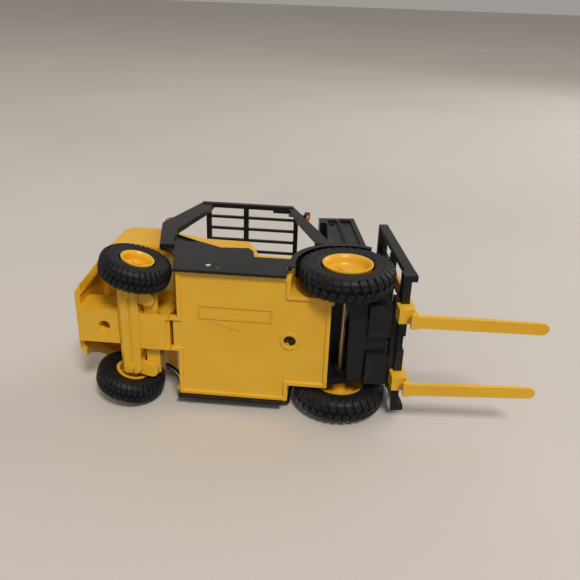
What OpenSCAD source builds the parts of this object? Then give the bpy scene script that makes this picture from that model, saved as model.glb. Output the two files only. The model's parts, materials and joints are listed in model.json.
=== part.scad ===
// Toy rough-terrain forklift: yellow body, black cab frame and mast, steered rear wheels.
// X points forward, Y to the left, Z up. Ground is Z = 0.

/* [Body] */
// Half width of the yellow body walls
body_hw = 30.2; // [29.8:0.1:30.4]
// Height of the underside plate above the ground
base_z = 9.6; // [9.2:0.1:9.8]
// Height of the hood's top
hood_z = 65; // [60:1:70]
// Wall thickness of the moulded shells
wall = 1.8; // [1.4:0.1:2.0]

/* [Cab] */
// Height of the underside of the roof guard
roof_z = 98.4; // [94:0.2:102]
// Distance between the slats of the roof guard
slat_pitch = 6.55; // [5.5:0.05:6.6]
// Width of one slat
slat_w = 1.2; // [0.8:0.1:1.6]

/* [Wheels] */
// Front tyre radius
ft_r = 21; // [20.6:0.1:21.2]
// Rear tyre radius
rt_r = 15.8; // [15.2:0.1:15.9]
// Front rim outer radius
fr_r = 11; // [10.4:0.1:11.4]
// Rear rim outer radius
rr_r = 7.3; // [7.0:0.1:7.6]
// Front axle rod radius
rod_r = 1.0; // [0.8:0.05:1.1]

/* [Steering] */
// Angle the rear wheels stand at, about Z
steer = 16; // [0:1:18]
// Distance from the kingpin to the tie rod pin
arm = 9.6; // [9.4:0.1:9.9]

/* [Mast] */
// Backward lean of the mast
lean = 8; // [4:1:9]
// Height of the mast along its own length
mast_h = 130; // [112:1:132]
// Height of the load backrest's top along the mast
rest_h = 77.8; // [70:0.2:84]

/* [Forks] */
// Upward pitch of the fork blades
fork_pitch = 3; // [2:0.5:5]
// Half width of a fork blade
fork_hw = 2.6; // [2.2:0.1:2.8]
// Side position of the right fork
fork_y_right = -17.4; // [-19:0.1:-16]
// Side position of the left fork
fork_y_left = 15.5; // [15:0.1:19]
// How far ahead of the front axle the fork tips reach
fork_tip = 83.7; // [70:0.5:90]

/* [Hidden] */
$fn = 48;
e = 0.01;
yellow = "gold";
black = [0.13, 0.13, 0.14];
rear_x = -121.3;
x_off = -(rear_x + fork_tip) / 2;
// underside plate outline
xb0 = -76.4; xb1 = -72.7; xb2 = -23.3; xb3 = -5.7;
w1 = 30.6; w2 = 22.2; w3 = 8.5;
rim_w = 1.8;
base_top = base_z + 2.7;
// front axle
ax_z = ft_r;
ft_in = 23.6; ft_out = 34.8;
fr_in = 25.8; fr_out = 34.7;
// rear axle
kx = -94.8; ky = 18; rax_z = rt_r;
rt_in = 4.9; rt_out = 15.6;
arch_r = 20.5; skirt_arch_r = 19.8; cw_arch_r = 23.2; cw_arch_z = 15.3;
// cage
cage_in = 30.9; cage_out = 33.4; rail_in = 31.6; rail_out = 33.9; roof_t = 3.2;
skirt_in = 30.7; skirt_out = 32;
// mast, in its own upright frame
om_x0 = 1.8; om_x1 = 9.0; im_x0 = 9.3; im_x1 = 19.2; m_web = 19.4; m_webi = 17.2; m_fl = 13.6;
cyl_x = 14.25;
seam_z = 42.4;
c_x0 = 22.4; c_x1 = 25.8; bk_x0 = 23.8; bk_x1 = 28.3; c_z0 = 9.8; c_z1 = 16; u_z0 = 40; u_z1 = 45; c_hw = 33.4; bk_in = 30.6;

module place() { translate([x_off, 0, 0]) children(); }
module both() { children(); mirror([0, 1, 0]) children(); }
// solid with its outline in the XZ plane, from y0 to y1
module xz(pts, y0, y1) { translate([0, y1, 0]) rotate([90, 0, 0]) linear_extrude(y1 - y0) polygon(pts); }
module box(x0, x1, y0, y1, z0, z1) { translate([x0, y0, z0]) cube([x1 - x0, y1 - y0, z1 - z0]); }
// cylinder along Y from y0 to y1
module ycyl(x, z, r, y0, y1) { translate([x, y1, z]) rotate([90, 0, 0]) cylinder(r = r, h = y1 - y0); }
module zcyl(x, y, r, z0, z1) { translate([x, y, z0]) cylinder(r = r, h = z1 - z0); }
// turned shape about an axis along -Y: profile points are [radius, distance outward]
module turned(pts) { rotate([90, 0, 0]) rotate_extrude($fn = 96) polygon(pts); }
// lean of the mast about the front axle
module leaned() { translate([0, 0, ax_z]) rotate([0, -lean, 0]) translate([0, 0, -ax_z]) children(); }

// ---- underside plate ----
module base_outline(d, xr) {
    polygon([[xr, -(w3 - d)], [xb1 + d, -(w3 - d)], [xb1 + d, -(w1 - d)], [xb2 - d, -(w1 - d)], [xb2 - d, -(w2 - d)],
        [xb3 - d, -(w2 - d)], [xb3 - d, w2 - d], [xb2 - d, w2 - d], [xb2 - d, w1 - d], [xb1 + d, w1 - d],
        [xb1 + d, w3 - d], [xr, w3 - d]]);
}
module base_plate() {
    color(yellow) place() difference() {
        union() {
            translate([0, 0, base_z]) linear_extrude(2.7) difference() { base_outline(0, xb0); base_outline(rim_w, xb0 - 1); }
            translate([0, 0, base_z + 0.9]) linear_extrude(1.8) base_outline(rim_w - 0.2, xb0 + 1.5);
            translate([-23.1, 0, base_z + 0.5]) cylinder(r = 4.2, h = 1.6);
            // blank raised panel outline
            difference() { box(-63.5, -31, -14.8, -8.2, base_z + 0.55, base_z + 1.2); box(-62.8, -31.7, -14.1, -8.9, base_z, base_z + 2); }
            box(xb3 - 0.2, xb3 + 1, -21.6, -18.8, base_z + 0.4, base_z + 2.2);
        }
        translate([-23.1, 0, base_z - 1]) cylinder(r = 2.7, h = 6);
    }
}
module base_screw() {
    color("dimgray") place() translate([-23.1, 0, 0]) difference() {
        union() { zcyl(0, 0, 2.3, base_top + 0.6, base_top + 2.4); zcyl(0, 0, 1.2, base_top + 2.4, 26.6); }
        box(-1.6, 1.6, -0.25, 0.25, base_top, base_top + 1.3);
        box(-0.25, 0.25, -1.6, 1.6, base_top, base_top + 1.3);
    }
}

// ---- cab tub: side walls, floor, bulkheads, axle cheeks ----
module arches(r, y0) { both() ycyl(kx, rax_z, r, y0, 60); }
module cab_tub() {
    color(yellow) place() difference() {
        union() {
            both() xz([[-86, base_top], [-86, 58.5], [-84, 57.6], [-69, 51.9], [-47.3, 51.4], [-44.4, 45.5], [-40.2, 34.6],
                [-25, 33.8], [xb2, 33.8], [xb2, base_top]], body_hw - 1.6, body_hw);
            // floor
            box(-86, xb2, -(body_hw - 1.5), body_hw - 1.5, 27, 28.6);
            // rear bulkhead
            box(-86, -84.4, -(body_hw - 1.5), body_hw - 1.5, 27, 57.6);
            // front bulkhead
            box(xb2 - 1.6, xb2, -(body_hw - 1.5), body_hw - 1.5, base_top, 33.8);
            // keel over the axle carrier
            box(-84.4, -76.5, -7, 7, 16.4, 27.5);
            // front cheeks
            both() xz([[xb2 - 1, base_top], [xb2 - 1, 31], [-7.5, 31], [-7.5, base_top]], 19.9, w2);
            box(xb2 - 1, -7.5, -20, 20, 29.4, 31);
            box(-9, -7.4, -20, 20, base_top, 31);
            // screw boss
            zcyl(-23.1, 0, 3.6, base_top + 2.6, 28);
        }
        arches(arch_r, 12);
        ycyl(0, ax_z, rod_r + 0.02, -40, 40);
        zcyl(-23.1, 0, 1.2, base_top, 26.6);
        zcyl(-23.1, 0, 2.6, base_top - 1, base_top + 2.6);
    }
}

// ---- rear body ----
module rear_plan(d) {
    polygon([[rear_x + d, -13.4 + d * 0.4], [-110.7 + d * 0.6, -(29.4 - d)], [-86.1, -(29.4 - d)], [-86.1, 29.4 - d], [-110.7 + d * 0.6, 29.4 - d], [rear_x + d, 13.4 - d * 0.4]]);
}
module counterweight() {
    color(yellow) place() difference() {
        union() {
            difference() {
                intersection() {
                    translate([0, 0, 16]) linear_extrude(30) rear_plan(0);
                    xz([[rear_x + 0.5, 15], [rear_x, 20], [rear_x + 0.3, 36], [-119.2, seam_z], [-80, seam_z], [-80, 15]], -40, 40);
                }
                intersection() {
                    translate([0, 0, 10]) linear_extrude(40) rear_plan(2.6);
                    xz([[rear_x + 2.6, 10], [rear_x + 2.9, 36], [-119.2 + wall, seam_z + 1], [-87.9, seam_z + 1], [-87.9, 10]], -40, 40);
                }
            }
            // raised rim under the hood
            both() box(-109, -87.5, 29.3, 29.9, seam_z - 3.2, seam_z);
            // keel box with the screw recess
            box(-119, -100.2, -8.3, 8.3, 12.4, 27);
        }
        both() ycyl(kx, cw_arch_z, cw_arch_r, 14.5, 60);
        box(-91, -80, -6.3, 6.3, 10, 27.2);
        zcyl(-107, 0, 2.65, 11, 21);
        zcyl(-107, 0, 1.2, 20, 26);
    }
}
module counterweight_screw() {
    color("dimgray") place() translate([-107, 0, 0]) difference() {
        union() { zcyl(0, 0, 2.3, 19.4, 21); zcyl(0, 0, 1.2, 21 - e, 26); }
        box(-1.6, 1.6, -0.25, 0.25, 19, 20.2);
        box(-0.25, 0.25, -1.6, 1.6, 19, 20.2);
    }
}
module hood_profile(d) {
    polygon([[-118.6 + d, seam_z - d * 2], [-109.4 + d, hood_z - 1.8 - d], [-107.2 + d, hood_z - d], [-86.1 - d, hood_z - d], [-86.1 - d, seam_z - d * 2]]);
}
module hood() {
    color(yellow) place() difference() {
        intersection() {
            translate([0, 40, 0]) rotate([90, 0, 0]) linear_extrude(80) hood_profile(0);
            translate([0, 0, 40]) linear_extrude(40) rear_plan(0);
        }
        intersection() {
            translate([0, 40, 0]) rotate([90, 0, 0]) linear_extrude(80) hood_profile(wall);
            translate([0, 0, 40]) linear_extrude(40) rear_plan(wall);
        }
        // cooling slots in the top
        for (i = [0:5]) box(-104.5 + i * 2.4, -103.3 + i * 2.4, -14, 14, hood_z - 0.8, hood_z + 1);
    }
}
module front_cowl() {
    color(yellow) place() difference() {
        xz([[xb2, 33.9], [xb2, 46.5], [-21.6, 47.6], [-13.6, 47.6], [-9.5, 40], [-9.5, 31.1], [-20, 31.1], [-20, 33.9]], -w2, w2);
        xz([[xb2 + 1.6, 30], [xb2 + 1.6, 45.2], [-14.6, 45.2], [-11.2, 39.4], [-11.2, 30]], -(w2 - 1.6), w2 - 1.6);
    }
}
module front_floor_panel() {
    color(black) place() difference() {
        union() {
            box(-9.45, -0.9, -19.7, 19.7, 31, 32.4);
            box(-9.45, -8.2, -19.7, 19.7, 32.3, 38.8);
            // side plates that carry the axle rod
            both() xz([[-7.4, base_top + 0.1], [-7.4, 32.4], [-0.9, 32.4], [-0.9, 28.3], [4.2, 25.4], [4.2, 16], [1, 14.6], [xb3, base_top + 0.1]], 19.6, w2);
        }
        ycyl(0, ax_z, rod_r + 0.02, -40, 40);
    }
}

// ---- black cab frame ----
module frame_side() {
    difference() {
        union() {
            // skirt panel
            difference() {
                xz([[-86, 8], [-73.6, 8], [-25.2, 8.2], [-25.2, 27.6], [-41.4, 27.6], [-42.8, 34.6], [-45.4, 38], [-58, 36.8], [-70, 43.4], [-82, 51], [-86, 51]], skirt_in, skirt_out);
                ycyl(kx, rax_z, skirt_arch_r, 20, 40);
                xz([[-90, 0], [-73.4, 0], [-73.4, 11], [-75.1, rax_z + 0.1], [-90, rax_z + 0.1]], skirt_in - 1, skirt_out + 1);
            }
            difference() {
                // rear pillar with its flared foot
                xz([[-85.6, 33], [-91.9, 60], [-92.3, 63.2], [-88.9, 73.4], [-80.3, roof_z + roof_t], [-73.6, roof_z + roof_t], [-73.6, roof_z],
                    [-75.4, 84], [-82.8, 54.6], [-81.2, 42], [-79, 33]], skirt_in, cage_out);
                ycyl(kx, rax_z, skirt_arch_r, 20, 40);
                xz([[-90, 66], [-70, 66], [-70, 110], [-90, 110]], skirt_in - 1, cage_in);
            }
            // roof rail
            box(-80, -34, rail_in, rail_out, roof_z, roof_z + roof_t);
            box(-41, -30, 30.2, rail_out, roof_z + 0.2, roof_z + roof_t);
            // front pillar
            xz([[-7.6, 46.9], [-28.4, roof_z - 0.6], [-29.6, roof_z + 1.8], [-32, roof_z + roof_t], [-37, roof_z + roof_t], [-33.2, roof_z], [-29.4, 90.3], [-24.7, 75.7], [-13.5, 46.9]], cage_in, cage_out);
            xz([[-6.6, 45.9], [-6.6, 47.1], [-15.6, 47.1], [-15.6, 45.9]], cage_in - 2, cage_out);
        }
        // triangular pocket behind the cab
        xz([[-82.2, 50.6], [-69.4, 42.2], [-80.2, 41.4]], skirt_in + 0.4, skirt_out + 1);
    }
}
module cab_frame_left() { color(black) place() frame_side(); }
module cab_frame_right() { color(black) place() mirror([0, 1, 0]) frame_side(); }
module roof_guard() {
    color(black) place() {
        box(-78, -75.4, -30.9, 30.9, roof_z + 0.2, roof_z + 3);
        box(-57.2, -54.6, -rail_in, rail_in, roof_z + 0.2, roof_z + 3);
        box(-32.4, -27.2, -30.1, -28.6, roof_z + 0.2, roof_z + 3);
        box(-32.4, -27.2, 28.6, 30.1, roof_z + 0.2, roof_z + 3);
        box(-29.6, -27.2, -30.2, 30.2, roof_z + 0.2, roof_z + 3);
        for (i = [-4:4]) box(-76, -29, i * slat_pitch - slat_w / 2, i * slat_pitch + slat_w / 2, roof_z + 0.6, roof_z + 2.6);
    }
}

// ---- fenders ----
function arc(r, a0, a1, n) = [for (i = [0:n]) [r * cos(a0 + (a1 - a0) * i / n), ax_z + r * sin(a0 + (a1 - a0) * i / n)]];
function sector(r0, r1, a0, a1, n) = concat(arc(r0, a0, a1, n), arc(r1, a1, a0, n));
module ring_sector(r0, r1, a0, a1, y0, y1) {
    intersection() {
        difference() { ycyl(0, ax_z, r1, y0, y1); ycyl(0, ax_z, r0, y0 - 1, y1 + 1); }
        xz(concat([[0, ax_z]], arc(60, a0, a1, 12)), y0 - 2, y1 + 2);
    }
}
module fender_side() {
    ring_sector(23.7, 24.9, 64, 158, w2, 34.3);
    ring_sector(22.3, 24.9, 64, 158, 33.5, 34.3);
    ring_sector(22.3, 23.8, 64, 67, w2 + 0.4, 34.3);
    ring_sector(23.7, 24.9, 157, 180, 32.2, 34.3);
    ring_sector(22.3, 24.9, 157, 180, 33.5, 34.3);
    box(-24.9, -23.7, 32.2, 34.3, 13, ax_z);
    box(-24.9, -22.3, 33.5, 34.3, 13, ax_z);
}
module fender_left() { color(black) place() fender_side(); }
module fender_right() { color(black) place() mirror([0, 1, 0]) fender_side(); }

// ---- cab inside ----
module seat_base() {
    color(black) place() difference() {
        xz([[-72, 28.6], [-74, 37.4], [-52, 37.4], [-54, 28.6]], -11.5, 11.5);
        xz([[-70, 27], [-71.6, 35.6], [-54.4, 35.6], [-56, 27]], -9.8, 9.8);
    }
}
module seat() {
    color([0.2, 0.2, 0.2]) place() {
        hull() { for (s = [-1, 1]) { ycyl(-53.6, 39.9, 2.4, s * 9.4 - 1, s * 9.4 + 1); box(-70.5, -69.5, s * 9 - 1, s * 9 + 1, 37.4, 42); } }
        hull() { for (s = [-1, 1]) { ycyl(-71.6, 40.6, 3.0, s * 9 - 1, s * 9 + 1); ycyl(-76.8, 64.2, 2.4, s * 6.6 - 1, s * 6.6 + 1); } }
    }
}
module dashboard() {
    color(black) place() difference() {
        xz([[-24.9, 34], [-26.8, 36], [-28.4, 49.4], [-24.4, 51.6], [xb2 + 1.6, 47.7], [xb2 - 0.02, 46.6], [xb2 - 0.02, 34]], -13, 13);
        for (s = [-1, 0, 1]) translate([-26.7, s * 7.4, 50.2]) rotate([0, -28, 0]) cylinder(r = 2.1, h = 3);
        column_frame() zcyl(0, 0, 1.9, 0, 12);
    }
}
st_a = 48;
module column_frame() { translate([-27.3, 0, 44]) rotate([0, -st_a, 0]) children(); }
module steering_column() {
    color(black) place() column_frame() { cylinder(r = 1.9, h = 6); zcyl(0, 0, 1.0, 5, 13.2); }
}
module steering_wheel() {
    color(black) place() column_frame() difference() {
        union() {
            translate([0, 0, 13.6]) rotate_extrude($fn = 64) translate([6.6, 0]) circle(r = 0.85, $fn = 24);
            difference() { zcyl(0, 0, 2.1, 11.4, 14.4); zcyl(0, 0, 1.06, 11, 13.3); }
            for (a = [0, 120, 240]) rotate([0, 0, a]) box(1.6, 6.4, -0.6, 0.6, 13.1, 14.0);
        }
    }
}
module control_levers() {
    color(black) place() {
        xz([[-58, 28.6], [-59, 44], [-45, 44], [-44, 28.6]], -26.5, -19.5);
        for (i = [0:2]) {
            zcyl(-48 - i * 3.6, -23, 0.5, 43.9, 52.4);
            translate([-48 - i * 3.6, -23, 53]) sphere(r = 1.3, $fn = 32);
        }
    }
}
module marker_light_housings() {
    color(black) place() both() {
        box(-23.3, -20.4, 31, 34.2, 86.4, 91.2);
        box(-22.9, -20.9, 31.6, 33.6, 91.1, 92.6);
        xz([[-24.44, 88.2], [-25.09, 89.8], [-23.2, 89.8], [-23.2, 88.2]], 31.6, 33);
    }
}
module marker_light_lenses() { color("orangered") place() both() box(-21.9, -20.6, 31.2, 34, 82.6, 86.4); }
module tail_light_lenses() { color("red") place() both() xz([[-91, 67.4], [-92.6, 68], [-91, 72.8], [-89.3, 72.4]], 31.4, 33.2); }

// ---- axles and steering ----
module front_axle_rod() {
    color("silver") place() ycyl(0, ax_z, rod_r, -29.6, 29.6);
}
module axle_carrier() {
    color(yellow) place() difference() {
        union() {
            box(-90, -76.5, -w3, w3, base_z, base_z + 2);
            box(-80.6, -76.5, -w3, w3, base_z + 1.9, 16.3);
            box(-90, -89, -w3, w3, base_z + 1.9, 16.3);
            box(-90, -84.5, -6, 6, 16.2, 26.6);
        }
        box(-78.2, -76, -6.6, 6.6, base_z - 1, base_z + 1);
    }
}
module rear_axle_beam() {
    color(yellow) place() difference() {
        union() {
            xz([[kx - 4.5, 10.5], [kx - 2.8, 8.4], [kx + 0.6, 8.4], [kx + 0.8, 9.2], [kx + 1.6, 9.2], [kx + 1.8, 8.4], [kx + 3.8, 8.4], [kx + 4.8, 9.3],
                [kx + 4.8, 16], [kx - 4.5, 16]], -21, 21);
        }
        both() {
            box(kx - 9, kx + 0.5, 14.2, 30, 10.3, 14.7);
            box(kx, kx + 9, 11.8, 30, 10.3, 14.7);
            // upper lug is round, the lower one has its corners cut
            difference() { box(kx - 9, kx + 9, 17.6, 30, 14.6, 20); zcyl(kx, ky, 3.2, 10, 20); }
            translate([kx - 4.6, 21.1, 8]) rotate([0, 0, 45]) cube([3.4, 3.4, 10], center = true);
            translate([kx + 4.9, 21.1, 8]) rotate([0, 0, 45]) cube([2.4, 2.4, 10], center = true);
            zcyl(kx, ky, 1.8, 5, 20);
        }
    }
}
module kingpins() { color(yellow) place() both() { zcyl(kx, ky, 1.8, 8.2, 16.3); zcyl(kx, ky, 2.4, 16, 16.8); } }
module knuckle() {
    difference() {
        union() {
            zcyl(0, 0, 3.3, 10.6, 14.4);
            // steering arm
            difference() {
                linear_extrude(13.0) polygon([[0, -3.2], [9.8, -3], [11.5, -2.2], [12.4, 0], [11.5, 2.2], [9.8, 3], [0, 3.2]]);
                box(-20, 20, -10, 10, -1, 10.6);
                // slot for the tie rod pin
                box(arm - 0.6, arm + 0.8, -1.1, 1.1, 11.5, 14);
                zcyl(arm - 0.6, 0, 1.1, 11.5, 14);
                zcyl(arm + 0.8, 0, 1.1, 11.5, 14);
            }
            // upright and stub axle
            box(-3, 3, -4.5, 0, 10.6, 14.4);
            box(-3.2, 3.2, -4.5, -3.5, 10.6, rax_z + 3.2);
            ycyl(0, rax_z, 1.4, -12.9, -3.6);
            ycyl(0, rax_z, 1.9, -13.6, -12.75);
        }
        zcyl(0, 0, 1.86, 5, 20);
    }
}
module knuckle_right() { color(yellow) place() translate([kx, -ky, 0]) rotate([0, 0, steer]) knuckle(); }
module knuckle_left() { color(yellow) place() translate([kx, ky, 0]) rotate([0, 0, steer]) mirror([0, 1, 0]) knuckle(); }
module tie_rod() {
    px = kx + arm * cos(steer); py = arm * sin(steer);
    color(yellow) place() {
        box(px - 2.9, px + 3.2, -ky + py - 2, ky + py + 2, 13.3, 15.3);
        for (s = [-1, 1]) zcyl(px, s * ky + py, 0.8, 11.8, 13.4);
    }
}

// ---- wheels ----
module front_tyre() {
    turned([[fr_r - 0.6, fr_in + 0.8], [fr_r + 0.6, fr_in + 0.2], [fr_r + 3, ft_in + 0.5], [16.5, ft_in], [ft_r - 1.7, ft_in + 0.5], [ft_r - 0.2, ft_in + 1.9],
        [ft_r, ft_in + 3], [ft_r, ft_out - 3], [ft_r - 0.2, ft_out - 1.9], [ft_r - 1.7, ft_out - 0.5], [16.5, ft_out], [fr_r + 2.4, ft_out - 0.3],
        [fr_r + 0.2, fr_out - 0.6], [fr_r + 0.1, fr_out - 0.85], [fr_r - 0.6, fr_out - 0.85]]);
}
module front_rim() {
    difference() {
        union() {
            turned([[0, 23.9], [2.6, 23.9], [3.4, 28.8], [9.2, 28.8], [9.5, 27.4], [9.7, fr_in], [fr_r + 0.4, fr_in], [fr_r + 0.4, fr_in + 0.3], [fr_r - 0.6, fr_in + 0.8],
                [fr_r - 0.6, fr_out - 0.85], [fr_r, fr_out - 0.8], [fr_r, fr_out], [fr_r - 0.8, fr_out], [fr_r - 1.7, fr_out - 1], [fr_r - 2.4, fr_out - 3.4],
                [fr_r - 3.0, fr_out - 4.2], [4.4, fr_out - 4.2], [3.4, fr_out - 3.4], [3.2, fr_out - 2.5], [0, fr_out - 2.5]]);
            for (a = [0:45:315]) rotate([0, a, 0]) ycyl(5.9, 0, 0.62, -(fr_out - 3.5), -(fr_out - 4.3));
        }
        ycyl(0, 0, rod_r + 0.04, -29.8, 0);
    }
}
module rear_tyre() {
    turned([[rr_r - 0.5, rt_in + 1.5], [rr_r + 0.35, rt_in + 1.15], [rr_r + 0.6, rt_in + 0.7], [rr_r + 2.4, rt_in + 0.2], [rt_r - 1.6, rt_in + 0.5], [rt_r - 0.2, rt_in + 1.7], [rt_r, rt_in + 2.6],
        [rt_r, rt_out - 2.6], [rt_r - 0.2, rt_out - 1.7], [rt_r - 1.6, rt_out - 0.5], [rr_r + 2.4, rt_out - 0.1], [rr_r + 0.2, rt_out - 0.6], [rr_r + 0.1, rt_out - 1.08], [rr_r - 0.5, rt_out - 1.08]]);
}
module rear_rim() {
    ro = rt_out - 0.3; ri = rt_in + 0.8;
    difference() {
        union() {
            turned([[0, 7], [2.4, 7], [2.8, 9.4], [5.6, 9.4], [6.2, ri], [rr_r + 0.3, ri], [rr_r + 0.3, ri + 0.3], [rr_r - 0.5, ri + 0.7], [rr_r - 0.5, ro - 0.75],
                [rr_r, ro - 0.7], [rr_r, ro], [rr_r - 0.7, ro], [rr_r - 1.4, ro - 0.9], [rr_r - 1.9, ro - 4.0], [2.9, ro - 4.0], [2.7, ro - 3.6], [0, ro - 3.6]]);
            for (a = [0:60:300]) rotate([0, a, 0]) ycyl(4.0, 0, 0.45, -(ro - 3.4), -(ro - 4.1));
        }
        ycyl(0, 0, 1.45, -50, 50);
        ycyl(0, 0, 2.1, -50, -12.7);
    }
}
module at_front(s) { place() translate([0, 0, ax_z]) mirror([0, s, 0]) children(); }
module at_rear(s) { place() translate([kx, s == 1 ? ky : -ky, rax_z]) rotate([0, 0, steer]) mirror([0, s, 0]) children(); }
module front_tyre_right() { color(black) at_front(0) front_tyre(); }
module front_rim_right() { color(yellow) at_front(0) front_rim(); }
module front_tyre_left() { color(black) at_front(1) front_tyre(); }
module front_rim_left() { color(yellow) at_front(1) front_rim(); }
module rear_tyre_right() { color(black) at_rear(0) rear_tyre(); }
module rear_rim_right() { color(yellow) at_rear(0) rear_rim(); }
module rear_tyre_left() { color(black) at_rear(1) rear_tyre(); }
module rear_rim_left() { color(yellow) at_rear(1) rear_rim(); }

// ---- mast ----
// channel rail: web outside, flanges inward
module rail(x0, x1, z0, z1, ft) {
    both() {
        box(x0, x1, m_webi, m_web, z0, z1);
        box(x0, x0 + ft, m_fl, m_webi + e, z0, z1);
        box(x1 - ft, x1, m_fl, m_webi + e, z0, z1);
    }
}
module outer_mast() {
    color(black) place() leaned() difference() {
        union() {
            rail(om_x0, om_x1, 12.4, mast_h - 2, 1.2);
            box(om_x0, om_x1, -m_web, m_web, 12.4, 16);
            box(om_x0, 17.6, -3.6, 3.6, 12.6, 14.4);
            box(om_x0, om_x0 + 1.2, -m_web, m_web, 40, 46);
            box(om_x0, om_x0 + 1.2, -m_web, m_web, 84, 90);
            // top yoke
            box(-1.7, om_x1, -m_web, m_web, mast_h - 2.6, mast_h);
            box(-1.7, om_x0 + 0.5, -m_web, m_web, mast_h - 8, mast_h - 2);
            // ears on the axle
            both() xz([[-2.6, 18.6], [-2.6, 23.4], [-1.2, 25], [2, 27], [2, 15], [-0.8, 17]], m_webi, m_web);
        }
        ycyl(0, ax_z, rod_r + 0.05, -40, 40);
        both() box(om_x0 + 1.2, om_x1 - 0.7, m_web - 1.2, m_web + 1, 50, mast_h - 4);
        both() box(om_x0 + 2.2, om_x0 + 4.6, m_webi - 1, m_web + 1, mast_h - 10.5, mast_h - 7);
        box(-3, 1, -12, 12, mast_h - 7, mast_h - 3.6);
    }
}
module lift_cylinder() {
    color(black) place() leaned() difference() {
        union() { zcyl(cyl_x, 0, 3.1, 14.4, 76); zcyl(cyl_x, 0, 3.4, 72, 77); zcyl(cyl_x, 0, 3.4, 14.4, 17); }
        zcyl(cyl_x, 0, 1.66, 16.4, 80);
    }
}
module inner_mast() {
    color(black) place() leaned() difference() {
        union() {
            rail(im_x0, im_x1, 10, mast_h - 2, 1.5);
            box(im_x0, im_x1, -m_web, m_web, 10, 13);
            box(im_x0, im_x0 + 1.2, -m_web, m_web, 58, 64);
            box(im_x0, im_x1, -m_web, m_web, mast_h - 2.6, mast_h);
            box(im_x0, im_x0 + 1.2, -m_web, m_web, mast_h - 8, mast_h - 2);
            // roller arms
            both() for (z = [17.6, 56]) { box(im_x0, im_x0 + 1.5, 11.2, m_fl + e, z, z + 6); box(3.6, im_x0 + 0.5, 11.2, 13.2, z, z + 6); }
        }
        box(im_x0 - 1, im_x1 + 1, -4.2, 4.2, 9, 13.5);
        both() box(im_x0 + 0.8, im_x1 - 2.6, m_web - 1.2, m_web + 1, 50, mast_h - 3.6);
        zcyl(cyl_x, 0, 1.0, mast_h - 3, mast_h - 1.4);
    }
}
module inner_mast_rollers() { color("dimgray") place() leaned() both() for (z = [20.6, 59]) ycyl(5.4, z, 2.2, 13.2, 17); }
module lift_rod() { color("silver") place() leaned() { zcyl(cyl_x, 0, 1.6, 17, mast_h - 2.6); zcyl(cyl_x, 0, 1.0, mast_h - 2.7, mast_h - 1.4); } }
module carriage() {
    color(black) place() leaned() difference() {
        union() {
            box(c_x0, c_x1, -c_hw, c_hw, c_z0, c_z1);
            box(19.9, c_x0 + 0.5, -22.2, 22.2, c_z0 + 1.9, c_z1);
            both() box(c_x1 - 1, bk_x1, bk_in, c_hw, c_z0, c_z1);
            box(c_x0 + 1, c_x1, -bk_in, bk_in, u_z0, u_z1);
            both() xz([[12.4, 14.2], [12.4, 38], [c_x0 + 1.2, u_z1], [c_x0 + 1.2, c_z0 + 1], [19.9, 13.5]], 9.4, 11.8);
            // roller pins
            both() for (z = [19, 35]) ycyl(14.25, z, 1.2, 11.7, 13.9);
        }
        box(c_x1 - 1, c_x1 + 1, -5, 2, c_z0 - 1, c_z0 + 3.4);
        for (i = [-2:2]) box(c_x1 - 0.5, c_x1 + 1, i * 6 - 0.4, i * 6 + 0.4, u_z1 - 1, u_z1 + 1);
    }
}
module carriage_rollers() { color("dimgray") place() leaned() both() for (z = [19, 35]) ycyl(14.25, z, 3.2, 13.9, 17); }
module load_backrest() {
    color(black) place() leaned() {
        both() {
            box(bk_x0, bk_x1, bk_in, c_hw, c_z1, rest_h);
            for (y = [4.1, 12.3, 20.5]) box(25, 27.4, y - 0.9, y + 0.9, u_z1 + 2.4, rest_h - 4.5);
        }
        box(25, 27.4, -bk_in - 0.1, bk_in + 0.1, u_z1 + 2.2, u_z1 + 4.8);
        box(bk_x0, bk_x1, -bk_in - 0.1, bk_in + 0.1, rest_h - 4.8, rest_h);
    }
}
// fork: hooks and shank lean with the mast, the blade has its own pitch and toe
module fork_right() { color(yellow) place() one_fork(fork_y_right, 0.6); }
module fork_left() { color(yellow) place() one_fork(fork_y_left, -1.5); }
module one_fork(y, toe) {
    bl = (fork_tip - 27.6) / cos(fork_pitch);
    translate([0, y, 0]) {
        leaned() {
            // shank in front of both carriage bars
            box(c_x1 + 0.2, c_x1 + 1.6, -3.3, 3.3, -0.4, u_z1 + 1.6);
            // upper hook over the upper bar
            box(c_x0 + 1.2, c_x1 + 1, -3.3, 3.3, u_z1 + 0.2, u_z1 + 1.6);
            // lower hook under and behind the lower bar
            box(c_x0 - 1.9, c_x1 + 1.5, -3.3, 3.3, 3.8, c_z0 - 0.3);
            box(c_x0 - 1.9, c_x0 - 0.3, -3.3, 3.3, 3.8, c_z0 + 1.3);
        }
        translate([27.6, 0, 2.5]) rotate([0, -fork_pitch, toe]) {
            difference() {
                union() {
                    translate([0, 0, 0]) linear_extrude(2.4) polygon([[-0.2, -3.3], [-0.2, 3.3], [1.4, 3.3], [3.8, fork_hw], [bl - 2.2, fork_hw], [bl - 0.9, fork_hw - 0.7], [bl - 0.2, fork_hw - 1.6],
                        [bl, 0], [bl - 0.2, -(fork_hw - 1.6)], [bl - 0.9, -(fork_hw - 0.7)], [bl - 2.2, -fork_hw], [3.8, -fork_hw], [1.4, -3.3]]);
                }
                // blade thins towards the tip
                xz([[bl * 0.5, 2.4], [bl + 1, 1.3], [bl + 1, 4], [bl * 0.5, 4]], -6, 6);
            }
        }
    }
}

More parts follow.
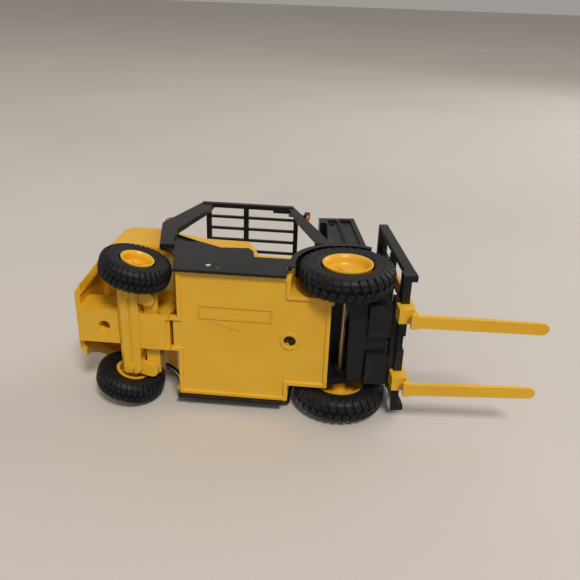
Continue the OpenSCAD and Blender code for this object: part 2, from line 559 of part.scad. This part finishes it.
base_plate();
base_screw();
cab_tub();
counterweight();
counterweight_screw();
hood();
front_cowl();
front_floor_panel();
cab_frame_right();
cab_frame_left();
roof_guard();
fender_right();
fender_left();
seat_base();
seat();
dashboard();
steering_column();
steering_wheel();
control_levers();
marker_light_housings();
marker_light_lenses();
tail_light_lenses();
front_axle_rod();
axle_carrier();
rear_axle_beam();
kingpins();
knuckle_right();
knuckle_left();
tie_rod();
front_tyre_right();
front_rim_right();
front_tyre_left();
front_rim_left();
rear_tyre_right();
rear_rim_right();
rear_tyre_left();
rear_rim_left();
outer_mast();
lift_cylinder();
inner_mast();
inner_mast_rollers();
lift_rod();
carriage();
carriage_rollers();
load_backrest();
fork_right();
fork_left();
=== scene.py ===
import json
import math

import bmesh
import bpy
from mathutils import Matrix, Vector


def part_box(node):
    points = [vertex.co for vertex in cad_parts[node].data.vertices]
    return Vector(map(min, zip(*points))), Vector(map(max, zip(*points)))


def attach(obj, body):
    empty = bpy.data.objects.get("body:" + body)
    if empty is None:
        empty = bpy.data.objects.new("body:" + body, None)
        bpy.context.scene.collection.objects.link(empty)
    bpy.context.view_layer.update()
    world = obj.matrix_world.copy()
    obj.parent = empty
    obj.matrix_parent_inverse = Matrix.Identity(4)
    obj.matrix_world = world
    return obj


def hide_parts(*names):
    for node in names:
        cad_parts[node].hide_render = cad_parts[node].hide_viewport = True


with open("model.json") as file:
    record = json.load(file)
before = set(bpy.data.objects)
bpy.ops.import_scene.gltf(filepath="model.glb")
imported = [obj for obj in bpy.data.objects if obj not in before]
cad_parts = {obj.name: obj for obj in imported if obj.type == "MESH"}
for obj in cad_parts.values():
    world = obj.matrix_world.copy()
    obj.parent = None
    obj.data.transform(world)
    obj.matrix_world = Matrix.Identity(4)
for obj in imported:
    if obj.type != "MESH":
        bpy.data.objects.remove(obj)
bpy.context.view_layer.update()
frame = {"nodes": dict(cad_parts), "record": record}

scene = bpy.context.scene
record = frame["record"]
slot_of = {s["node"]: s["material_slot"] for s in record["subparts"]}

# ------------------------------------------------------------------ camera
cam_data = bpy.data.cameras.new("camera")
cam = bpy.data.objects.new("camera", cam_data)
scene.collection.objects.link(cam)
axis_x = Vector((0.9956, -0.0337, 0.0881)).normalized()
axis_z = Vector((0.0665, -0.4114, -0.9090)).normalized()
axis_y = axis_z.cross(axis_x).normalized()
axis_x = axis_y.cross(axis_z).normalized()
rot = Matrix((axis_x, axis_y, axis_z)).transposed().to_4x4()
cam.matrix_world = Matrix.Translation((0.01295, -0.13535, -0.23389)) @ rot
cam_data.sensor_width = 36
cam_data.lens = 39.495
cam_data.clip_start = 0.005
cam_data.clip_end = 200
scene.camera = cam
scene.view_settings.view_transform = "Standard"
scene.view_settings.look = "None"


# ------------------------------------------------------------------ node helpers
class Tree:
    def __init__(self, name):
        self.mat = bpy.data.materials.new(name)
        self.mat.use_nodes = True
        self.t = self.mat.node_tree
        self.bsdf = self.t.nodes["Principled BSDF"]
        self.out = self.t.nodes["Material Output"]
        self.co = self.t.nodes.new("ShaderNodeTexCoord").outputs["Object"]

    def n(self, kind, **values):
        node = self.t.nodes.new(kind)
        for k, v in values.items():
            setattr(node, k, v)
        return node

    def put(self, a, b):
        self.t.links.new(a, b)

    def scaled(self, sx, sy, sz, turn=(0, 0, 0)):
        m = self.n("ShaderNodeMapping")
        m.inputs["Scale"].default_value = (sx, sy, sz)
        m.inputs["Rotation"].default_value = turn
        self.put(self.co, m.inputs["Vector"])
        return m.outputs["Vector"]

    def noise(self, scale, detail=3.0, rough=0.55, vec=None, seed=0.0):
        m = self.n("ShaderNodeTexNoise", noise_dimensions="4D")
        m.inputs["W"].default_value = seed
        m.inputs["Scale"].default_value = scale
        m.inputs["Detail"].default_value = detail
        m.inputs["Roughness"].default_value = rough
        self.put(vec or self.co, m.inputs["Vector"])
        return m.outputs["Fac"]

    def cells(self, scale, vec=None):
        m = self.n("ShaderNodeTexVoronoi")
        m.inputs["Scale"].default_value = scale
        self.put(vec or self.co, m.inputs["Vector"])
        return m.outputs["Distance"]

    def ramp(self, fac, stops):
        r = self.n("ShaderNodeValToRGB")
        e = r.color_ramp.elements
        while len(e) < len(stops):
            e.new(0.5)
        for i, (p, c) in enumerate(stops):
            e[i].position = p
            e[i].color = (c, c, c, 1) if not isinstance(c, tuple) else (*c, 1)
        self.put(fac, r.inputs["Fac"])
        return r.outputs["Color"]

    def mix(self, fac, a, b):
        m = self.n("ShaderNodeMix", data_type="RGBA")
        for socket, v in ((m.inputs[0], fac), (m.inputs[6], a), (m.inputs[7], b)):
            if isinstance(v, bpy.types.NodeSocket):
                self.put(v, socket)
            elif isinstance(v, tuple):
                socket.default_value = (*v, 1)
            else:
                socket.default_value = v
        return m.outputs[2]

    def math(self, op, a, b):
        m = self.n("ShaderNodeMath", operation=op)
        for socket, v in zip(m.inputs, (a, b)):
            if isinstance(v, bpy.types.NodeSocket):
                self.put(v, socket)
            else:
                socket.default_value = v
        return m.outputs[0]

    def bump(self, height, distance, strength=1.0, normal=None):
        m = self.n("ShaderNodeBump")
        m.inputs["Distance"].default_value = distance
        m.inputs["Strength"].default_value = strength
        self.put(height, m.inputs["Height"])
        if normal is not None:
            self.put(normal, m.inputs["Normal"])
        return m.outputs["Normal"]


def near(t, point, radius, soft):
    """1 inside a ball round the point (metres), 0 outside."""
    sub = t.n("ShaderNodeVectorMath", operation="DISTANCE")
    t.put(t.co, sub.inputs[0])
    sub.inputs[1].default_value = point
    m = t.n("ShaderNodeMapRange")
    m.inputs["From Min"].default_value = radius + soft
    m.inputs["From Max"].default_value = radius - soft
    t.put(sub.outputs["Value"], m.inputs["Value"])
    return m.outputs["Result"]


def plastic(name, base, dark, light, rough, grain=4200, grain_depth=0.000012, dust=(0.5, 0.45, 0.38), dust_amount=0.10,
            wear=None, wear_amount=0.0, sub=0.0, coat=0.0, spec=0.5, chips=()):
    t = Tree(name)
    broad = t.noise(34, 2, 0.5, seed=1.3)
    fine = t.noise(900, 3, 0.6, seed=4.1)
    col = t.mix(t.ramp(broad, [(0.3, 0.0), (0.7, 1.0)]), dark, light)
    col = t.mix(0.45, col, base)
    # moulding flow marks
    flow = t.noise(60, 2, 0.5, vec=t.scaled(1, 4, 1.6), seed=7.7)
    col = t.mix(t.math("MULTIPLY", t.ramp(flow, [(0.5, 0.0), (0.68, 1.0)]), 0.16), col, dark)
    # dust that gathers in patches and specks
    patch = t.ramp(t.noise(150, 5, 0.62, seed=2.2), [(0.5, 0.0), (0.75, 1.0)])
    speck = t.ramp(t.cells(650), [(0.04, 1.0), (0.11, 0.0)])
    gate = t.ramp(t.noise(75, 3, 0.5, seed=9.0), [(0.52, 0.0), (0.6, 1.0)])
    dusty = t.math("MAXIMUM", t.math("MULTIPLY", patch, dust_amount), t.math("MULTIPLY", t.math("MULTIPLY", speck, gate), dust_amount * 2.2))
    col = t.mix(dusty, col, dust)
    # hair scratches from handling, in two directions
    s1 = t.ramp(t.noise(1, 2, 0.5, vec=t.scaled(2600, 60, 2200, (0.3, 0.5, 0.6)), seed=3.3), [(0.66, 0.0), (0.72, 1.0)])
    s2 = t.ramp(t.noise(1, 2, 0.5, vec=t.scaled(50, 2400, 2600, (0.2, 0.1, -0.7)), seed=5.9), [(0.67, 0.0), (0.73, 1.0)])
    where = t.ramp(t.noise(48, 2, 0.5, seed=11.0), [(0.48, 0.0), (0.66, 1.0)])
    scratch = t.math("MULTIPLY", t.math("MAXIMUM", s1, s2), where)
    if wear is not None:
        col = t.mix(t.math("MULTIPLY", scratch, wear_amount), col, wear)
    for point, radius, colour in chips:
        edge = t.math("ADD", near(t, point, radius, radius * 0.55), t.math("MULTIPLY", t.noise(1500, 2, 0.5, seed=6.0), 0.8))
        col = t.mix(t.ramp(edge, [(0.86, 0.0), (0.96, 1.0)]), col, colour)
    t.put(col, t.bsdf.inputs["Base Color"])
    r = t.math("ADD", t.math("MULTIPLY", fine, 0.10), rough - 0.05)
    r = t.math("ADD", r, t.math("MULTIPLY", dusty, 0.5))
    r = t.math("ADD", r, t.math("MULTIPLY", scratch, 0.14))
    t.put(r, t.bsdf.inputs["Roughness"])
    n1 = t.bump(t.noise(grain, 2, 0.6, seed=0.5), grain_depth, 0.6)
    n2 = t.bump(t.noise(170, 1, 0.4, seed=8.0), 0.00006, 0.35, n1)
    n3 = t.bump(t.math("SUBTRACT", 1.0, scratch), 0.00001, 0.35, n2)
    t.put(n3, t.bsdf.inputs["Normal"])
    t.bsdf.inputs["Specular IOR Level"].default_value = spec
    t.bsdf.inputs["IOR"].default_value = 1.5
    if sub:
        t.bsdf.inputs["Subsurface Weight"].default_value = sub
        t.bsdf.inputs["Subsurface Radius"].default_value = (1.0, 0.45, 0.1)
        t.bsdf.inputs["Subsurface Scale"].default_value = 0.0012
    if coat:
        t.bsdf.inputs["Coat Weight"].default_value = coat
        t.bsdf.inputs["Coat Roughness"].default_value = 0.2
    return t.mat


def rubber():
    t = Tree("rubber")
    broad = t.noise(120, 4, 0.6, seed=1.0)
    col = t.mix(t.ramp(broad, [(0.35, 0.0), (0.7, 1.0)]), (0.0062, 0.0063, 0.0074), (0.0125, 0.0127, 0.0142))
    dust = t.ramp(t.noise(330, 5, 0.65, seed=3.0), [(0.54, 0.0), (0.78, 1.0)])
    col = t.mix(t.math("MULTIPLY", dust, 0.16), col, (0.09, 0.085, 0.08))
    lint = t.ramp(t.cells(800), [(0.03, 1.0), (0.075, 0.0)])
    col = t.mix(t.math("MULTIPLY", lint, 0.35), col, (0.2, 0.19, 0.18))
    t.put(col, t.bsdf.inputs["Base Color"])
    t.put(t.math("ADD", t.math("MULTIPLY", broad, 0.22), 0.42), t.bsdf.inputs["Roughness"])
    n1 = t.bump(t.noise(3200, 3, 0.6, seed=2.0), 0.00003, 0.5)
    t.put(t.bump(t.noise(420, 2, 0.5, seed=5.0), 0.00006, 0.4, n1), t.bsdf.inputs["Normal"])
    t.bsdf.inputs["Specular IOR Level"].default_value = 0.36
    return t.mat


def metal(name, a, b, rough, along="y"):
    t = Tree(name)
    v = t.scaled(*((2200, 40, 2200) if along == "y" else (2200, 2200, 40)))
    streak = t.noise(1, 3, 0.6, vec=v, seed=2.0)
    spots = t.ramp(t.noise(700, 4, 0.6, seed=4.0), [(0.55, 0.0), (0.7, 1.0)])
    col = t.mix(t.ramp(streak, [(0.3, 0.0), (0.7, 1.0)]), a, b)
    col = t.mix(t.math("MULTIPLY", spots, 0.35), col, tuple(x * 0.4 for x in a))
    t.put(col, t.bsdf.inputs["Base Color"])
    t.bsdf.inputs["Metallic"].default_value = 1.0
    t.put(t.math("ADD", t.math("MULTIPLY", streak, 0.25), rough - 0.1), t.bsdf.inputs["Roughness"])
    t.put(t.bump(streak, 0.00001, 0.4), t.bsdf.inputs["Normal"])
    return t.mat


def lens(name, a, b):
    t = Tree(name)
    ribs = t.n("ShaderNodeTexWave", wave_type="BANDS", bands_direction="Z")
    ribs.inputs["Scale"].default_value = 420
    ribs.inputs["Distortion"].default_value = 0.0
    t.put(t.co, ribs.inputs["Vector"])
    mott = t.noise(500, 3, 0.6, seed=1.0)
    t.put(t.mix(t.ramp(mott, [(0.35, 0.0), (0.65, 1.0)]), a, b), t.bsdf.inputs["Base Color"])
    t.put(t.math("ADD", t.math("MULTIPLY", mott, 0.12), 0.1), t.bsdf.inputs["Roughness"])
    t.put(t.bump(ribs.outputs["Fac"], 0.00006, 0.6), t.bsdf.inputs["Normal"])
    t.bsdf.inputs["Subsurface Weight"].default_value = 0.25
    t.bsdf.inputs["Subsurface Radius"].default_value = (1.0, 0.25, 0.08)
    t.bsdf.inputs["Subsurface Scale"].default_value = 0.0015
    t.bsdf.inputs["Coat Weight"].default_value = 0.5
    t.bsdf.inputs["Coat Roughness"].default_value = 0.08
    return t.mat


skirt_lo, skirt_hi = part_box("cab_frame_right")
chip_at = (skirt_lo.x + 0.0328, skirt_lo.y + 0.0019, skirt_lo.z + 0.0066)
nick_at = (skirt_lo.x + 0.0668, skirt_lo.y + 0.0019, skirt_lo.z + 0.0085)
rub_at = (skirt_lo.x + 0.0375, skirt_lo.y + 0.0019, skirt_lo.z + 0.0040)
MATS = {
    "yellow_plastic": plastic("yellow_plastic", (0.86, 0.475, 0.022), (0.80, 0.41, 0.014), (0.90, 0.54, 0.035), 0.34, sub=0.08,
                              dust=(0.62, 0.50, 0.33), dust_amount=0.10, wear=(0.93, 0.68, 0.22), wear_amount=0.30),
    "black_plastic": plastic("black_plastic", (0.0095, 0.0097, 0.0112), (0.006, 0.0061, 0.0073), (0.0135, 0.0138, 0.0155), 0.32,
                             dust=(0.15, 0.14, 0.13), dust_amount=0.10, wear=(0.075, 0.075, 0.08), wear_amount=0.36, spec=0.34,
                             chips=((chip_at, 0.00105, (0.78, 0.72, 0.50)), (nick_at, 0.00045, (0.45, 0.42, 0.36)), (rub_at, 0.0004, (0.35, 0.30, 0.22)))),
    "seat_plastic": plastic("seat_plastic", (0.020, 0.020, 0.022), (0.014, 0.014, 0.016), (0.028, 0.028, 0.030), 0.55, grain=1500,
                            grain_depth=0.00006, dust=(0.16, 0.15, 0.14), dust_amount=0.14, wear=(0.08, 0.08, 0.08), wear_amount=0.2),
    "grey_plastic": plastic("grey_plastic", (0.085, 0.085, 0.09), (0.06, 0.06, 0.065), (0.11, 0.11, 0.115), 0.5,
                            dust=(0.25, 0.24, 0.22), dust_amount=0.14, wear=(0.2, 0.2, 0.2), wear_amount=0.3),
    "tyre_rubber": rubber(),
    # bright_steel: its warm tan tint is a painted reflection of warm surroundings, not the steel's own colour
    "bright_steel": metal("bright_steel", (0.66, 0.53, 0.42), (0.82, 0.70, 0.58), 0.38),
    "dark_steel": metal("dark_steel", (0.055, 0.052, 0.05), (0.14, 0.135, 0.13), 0.42, "z"),
    "orange_lens": lens("orange_lens", (0.80, 0.13, 0.015), (0.92, 0.24, 0.03)),
    "red_lens": lens("red_lens", (0.50, 0.015, 0.012), (0.70, 0.035, 0.02)),
}

# ------------------------------------------------------------------ moulded edges on the CAD pieces
EDGE = {"base_plate": 0.00028, "counterweight": 0.00045, "hood": 0.0006, "front_cowl": 0.00045, "cab_tub": 0.0003,
        "cab_frame_right": 0.00035, "cab_frame_left": 0.00035, "roof_guard": 0.00022, "fork_right": 0.0004, "fork_left": 0.0004,
        "seat": 0.0009, "seat_base": 0.0004, "rear_axle_beam": 0.0005, "knuckle_right": 0.0003, "knuckle_left": 0.0003,
        "tie_rod": 0.0003, "outer_mast": 0.00022, "inner_mast": 0.00022, "carriage": 0.0003, "load_backrest": 0.0003,
        "dashboard": 0.0004, "fender_right": 0.0003, "fender_left": 0.0003, "axle_carrier": 0.0003}
for name, obj in frame["nodes"].items():
    obj.data.materials.clear()
    obj.data.materials.append(MATS[slot_of[name]])
    if "tyre" in name:
        continue
    weld = obj.modifiers.new("weld", "WELD")
    weld.merge_threshold = 0.000004
    bev = obj.modifiers.new("bevel", "BEVEL")
    bev.width = EDGE.get(name, 0.00015)
    bev.segments = 2
    bev.limit_method = "ANGLE"
    bev.angle_limit = math.radians(34)
    bev.use_clamp_overlap = True
    bev.harden_normals = True
    bev.miter_outer = "MITER_ARC"


# ------------------------------------------------------------------ tyres with a moulded tread
def smooth(a, b, x):
    u = min(max((x - a) / (b - a), 0.0), 1.0)
    return u * u * (3 - 2 * u)


def tread(name, node, body, centre, turn, side, r, y_in, y_out, bead_in, bead_out, rim, lugs, depth):
    """A tyre round the local y axis. side is -1 for the right-hand wheel, whose outer face looks to -y."""
    w = y_out - y_in
    prof = [(rim + 0.4, bead_in + 0.35), (rim + 0.9, bead_in + 0.1), (rim + 2.2, y_in + 0.5), (0.55 * rim + 0.45 * r, y_in + 0.12), (r - 3.2, y_in + 0.02), (r - 2.2, y_in + 0.16),
            (r - 1.2, y_in + 0.75), (r - 0.45, y_in + 1.7), (r - 0.05, y_in + 3.0), (r, y_in + w * 0.4),
            (r, y_out - w * 0.4), (r - 0.05, y_out - 3.0), (r - 0.45, y_out - 1.7), (r - 1.2, y_out - 0.75), (r - 2.2, y_out - 0.16),
            (r - 3.2, y_out - 0.02), (0.55 * rim + 0.45 * r, y_out - 0.12), (rim + 2.2, y_out - 0.35), (rim + 0.95, bead_out - 0.15), (rim + 0.5, bead_out - 0.45)]
    # resample the outline evenly
    pts = []
    for (a, b) in zip(prof, prof[1:]):
        length = math.hypot(b[0] - a[0], b[1] - a[1])
        steps = max(1, round(length / 0.2))
        pts += [(a[0] + (b[0] - a[0]) * i / steps, a[1] + (b[1] - a[1]) * i / steps) for i in range(steps)]
    pts.append(prof[-1])
    for _ in range(3):
        pts = [pts[0]] + [((p[0] + 2 * q[0] + s[0]) / 4, (p[1] + 2 * q[1] + s[1]) / 4) for p, q, s in zip(pts, pts[1:], pts[2:])] + [pts[-1]]
    m = len(pts)
    normals = []
    for i in range(m):
        a, b = pts[max(i - 1, 0)], pts[min(i + 1, m - 1)]
        dr, dy = b[0] - a[0], b[1] - a[1]
        k = math.hypot(dr, dy) or 1
        normals.append((dy / k, -dr / k))
    count = lugs * 22
    yc = (y_in + y_out) / 2
    half = w / 2
    verts, faces = [], []
    for j in range(count):
        th = 2 * math.pi * j / count
        u = lugs * j / count
        for i, ((pr, py), (nr, ny)) in enumerate(zip(pts, normals)):
            v = (py - yc) / half
            shoulder = smooth(r - 3.3, r - 2.7, pr)
            cut = 0.0
            if shoulder > 0:
                sgn = 1 if v > 0 else -1
                av = abs(v)
                # slanted grooves, staggered between the two halves
                t = u + sgn * 0.25 + 0.95 * av * (1 - 0.42 * av)
                f = t - math.floor(t)
                wide = 0.10 + 0.06 * smooth(0.55, 1.0, av)
                d = abs(f - 0.5)
                groove = 1 - smooth(wide - 0.045, wide + 0.02, d)
                # zig-zag groove along the middle
                zig = 0.15 * (2 * abs((u * 1.0 + 0.25) % 1.0 - 0.5) * 2 - 1)
                centre_cut = 1 - smooth(0.19 / half, 0.42 / half, abs(v - zig))
                # notch between the inner and the shoulder blocks
                f2 = (t + 0.5) % 1.0
                notch = (1 - smooth(0.015, 0.045, abs(av - 0.5 - 0.10 * (f2 - 0.5)))) * 0.55 * smooth(0.2, 0.3, f2) * (1 - smooth(0.7, 0.8, f2))
                cut = max(groove, centre_cut, notch) * shoulder
            ring = 0.0
            if pr < r - 3.0:
                ring = 0.16 * (1 - smooth(0.25, 0.55, abs(pr - (rim + 2.6)))) + 0.12 * (1 - smooth(0.2, 0.5, abs(pr - (r - 4.2))))
            pull = depth * cut - ring + (0.16 if pr < r - 3.0 else 0.16 * (1 - shoulder))
            rr, yy = pr - nr * pull, py - ny * pull
            verts.append((rr * math.cos(th) / 1000, side * yy / 1000, rr * math.sin(th) / 1000))
    for j in range(count):
        a, b = j * m, ((j + 1) % count) * m
        for i in range(m - 1):
            faces.append((a + i, a + i + 1, b + i + 1, b + i))
        # close the ring at the rim
        faces.append((a + m - 1, a, b, b + m - 1))
    mesh = bpy.data.meshes.new(name)
    mesh.from_pydata(verts, [], faces)
    bm = bmesh.new()
    bm.from_mesh(mesh)
    bmesh.ops.recalc_face_normals(bm, faces=bm.faces)
    bm.to_mesh(mesh)
    bm.free()
    for p in mesh.polygons:
        p.use_smooth = True
    mesh.materials.append(MATS["tyre_rubber"])
    mesh.set_sharp_from_angle(angle=math.radians(50))
    obj = bpy.data.objects.new(name, mesh)
    scene.collection.objects.link(obj)
    obj.matrix_world = Matrix.Translation(centre) @ Matrix.Rotation(turn, 4, "Z")
    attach(obj, body)
    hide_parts(node)
    return obj


joints = {j["name"]: j for j in record["behaviour"]["joints"]}


def wheel_centre(node):
    lo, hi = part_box(node)
    return (lo + hi) / 2


front_c = wheel_centre("front_tyre_right")
for hand, sgn in (("right", -1), ("left", 1)):
    c = wheel_centre(f"front_tyre_{hand}")
    tread(f"tyre_front_{hand}", f"front_tyre_{hand}", f"front_wheel_{hand}", (c.x, 0, c.z), 0.0, sgn,
          21.0, 23.6, 34.8, 24.4, 34.3, 11.0, 34, 0.95)
    kx, ky = (18.8 - 94.8) / 1000, sgn * 0.018
    c = wheel_centre(f"rear_tyre_{hand}")
    tread(f"tyre_rear_{hand}", f"rear_tyre_{hand}", f"rear_wheel_{hand}", (kx, ky, c.z), math.radians(16), sgn,
          15.8, 4.9, 15.6, 5.7, 15.2, 7.3, 38, 0.85)

# ------------------------------------------------------------------ stage
FLOOR_Y = 0.0368


def stage_material():
    t = Tree("stage_cover")
    big = t.noise(3.5, 2, 0.5, seed=1.0)
    col = t.mix(t.ramp(big, [(0.3, 0.0), (0.7, 1.0)]), (0.63, 0.585, 0.54), (0.68, 0.635, 0.59))
    t.put(col, t.bsdf.inputs["Base Color"])
    t.bsdf.inputs["Roughness"].default_value = 0.62
    t.bsdf.inputs["Specular IOR Level"].default_value = 0.3
    grain = t.ramp(t.cells(520), [(0.0, 0.0), (0.6, 1.0)])
    n1 = t.bump(grain, 0.00012, 0.25)
    t.put(t.bump(t.noise(28, 2, 0.5, seed=3.0), 0.0012, 0.35, n1), t.bsdf.inputs["Normal"])
    geo = t.n("ShaderNodeNewGeometry")
    clear = t.n("ShaderNodeBsdfTransparent")
    mixed = t.n("ShaderNodeMixShader")
    t.put(geo.outputs["Backfacing"], mixed.inputs[0])
    t.put(t.bsdf.outputs[0], mixed.inputs[1])
    t.put(clear.outputs[0], mixed.inputs[2])
    t.put(mixed.outputs[0], t.out.inputs["Surface"])
    return t.mat


mesh = bpy.data.meshes.new("stage_floor")
mesh.from_pydata([(-40, FLOOR_Y, -1.2), (-40, FLOOR_Y, 60), (40, FLOOR_Y, 60), (40, FLOOR_Y, -1.2)], [], [(0, 1, 2, 3)])
floor = bpy.data.objects.new("stage_floor", mesh)
scene.collection.objects.link(floor)
mesh.update()
if mesh.polygons[0].normal.y > 0:
    mesh.flip_normals()
mesh.materials.append(stage_material())
floor.visible_shadow = False
floor.visible_diffuse = False
floor.visible_glossy = False

# ------------------------------------------------------------------ light
world = bpy.data.worlds.new("world")
scene.world = world
world.use_nodes = True
bg = world.node_tree.nodes["Background"]
bg.inputs["Color"].default_value = (1.0, 0.955, 0.90, 1)
bg.inputs["Strength"].default_value = 0.34


def area(name, where, at, size, power, colour):
    data = bpy.data.lights.new(name, "AREA")
    data.shape = "SQUARE"
    data.size = size
    data.energy = power
    data.color = colour
    obj = bpy.data.objects.new(name, data)
    scene.collection.objects.link(obj)
    obj.location = where
    obj.rotation_mode = "QUATERNION"
    obj.rotation_quaternion = (Vector(at) - Vector(where)).to_track_quat("-Z", "Y")
    return obj


area("key", (0.96, -3.12, -2.28), (0, 0, 0.04), 0.85, 94, (1.0, 0.95, 0.88))
area("fill", (0.9, -0.7, 0.9), (0, 0, 0.05), 1.0, 5.0, (0.97, 0.98, 1.0))
area("rim", (-0.6, 0.9, 0.7), (0, 0, 0.05), 1.0, 3.0, (1.0, 0.97, 0.93))
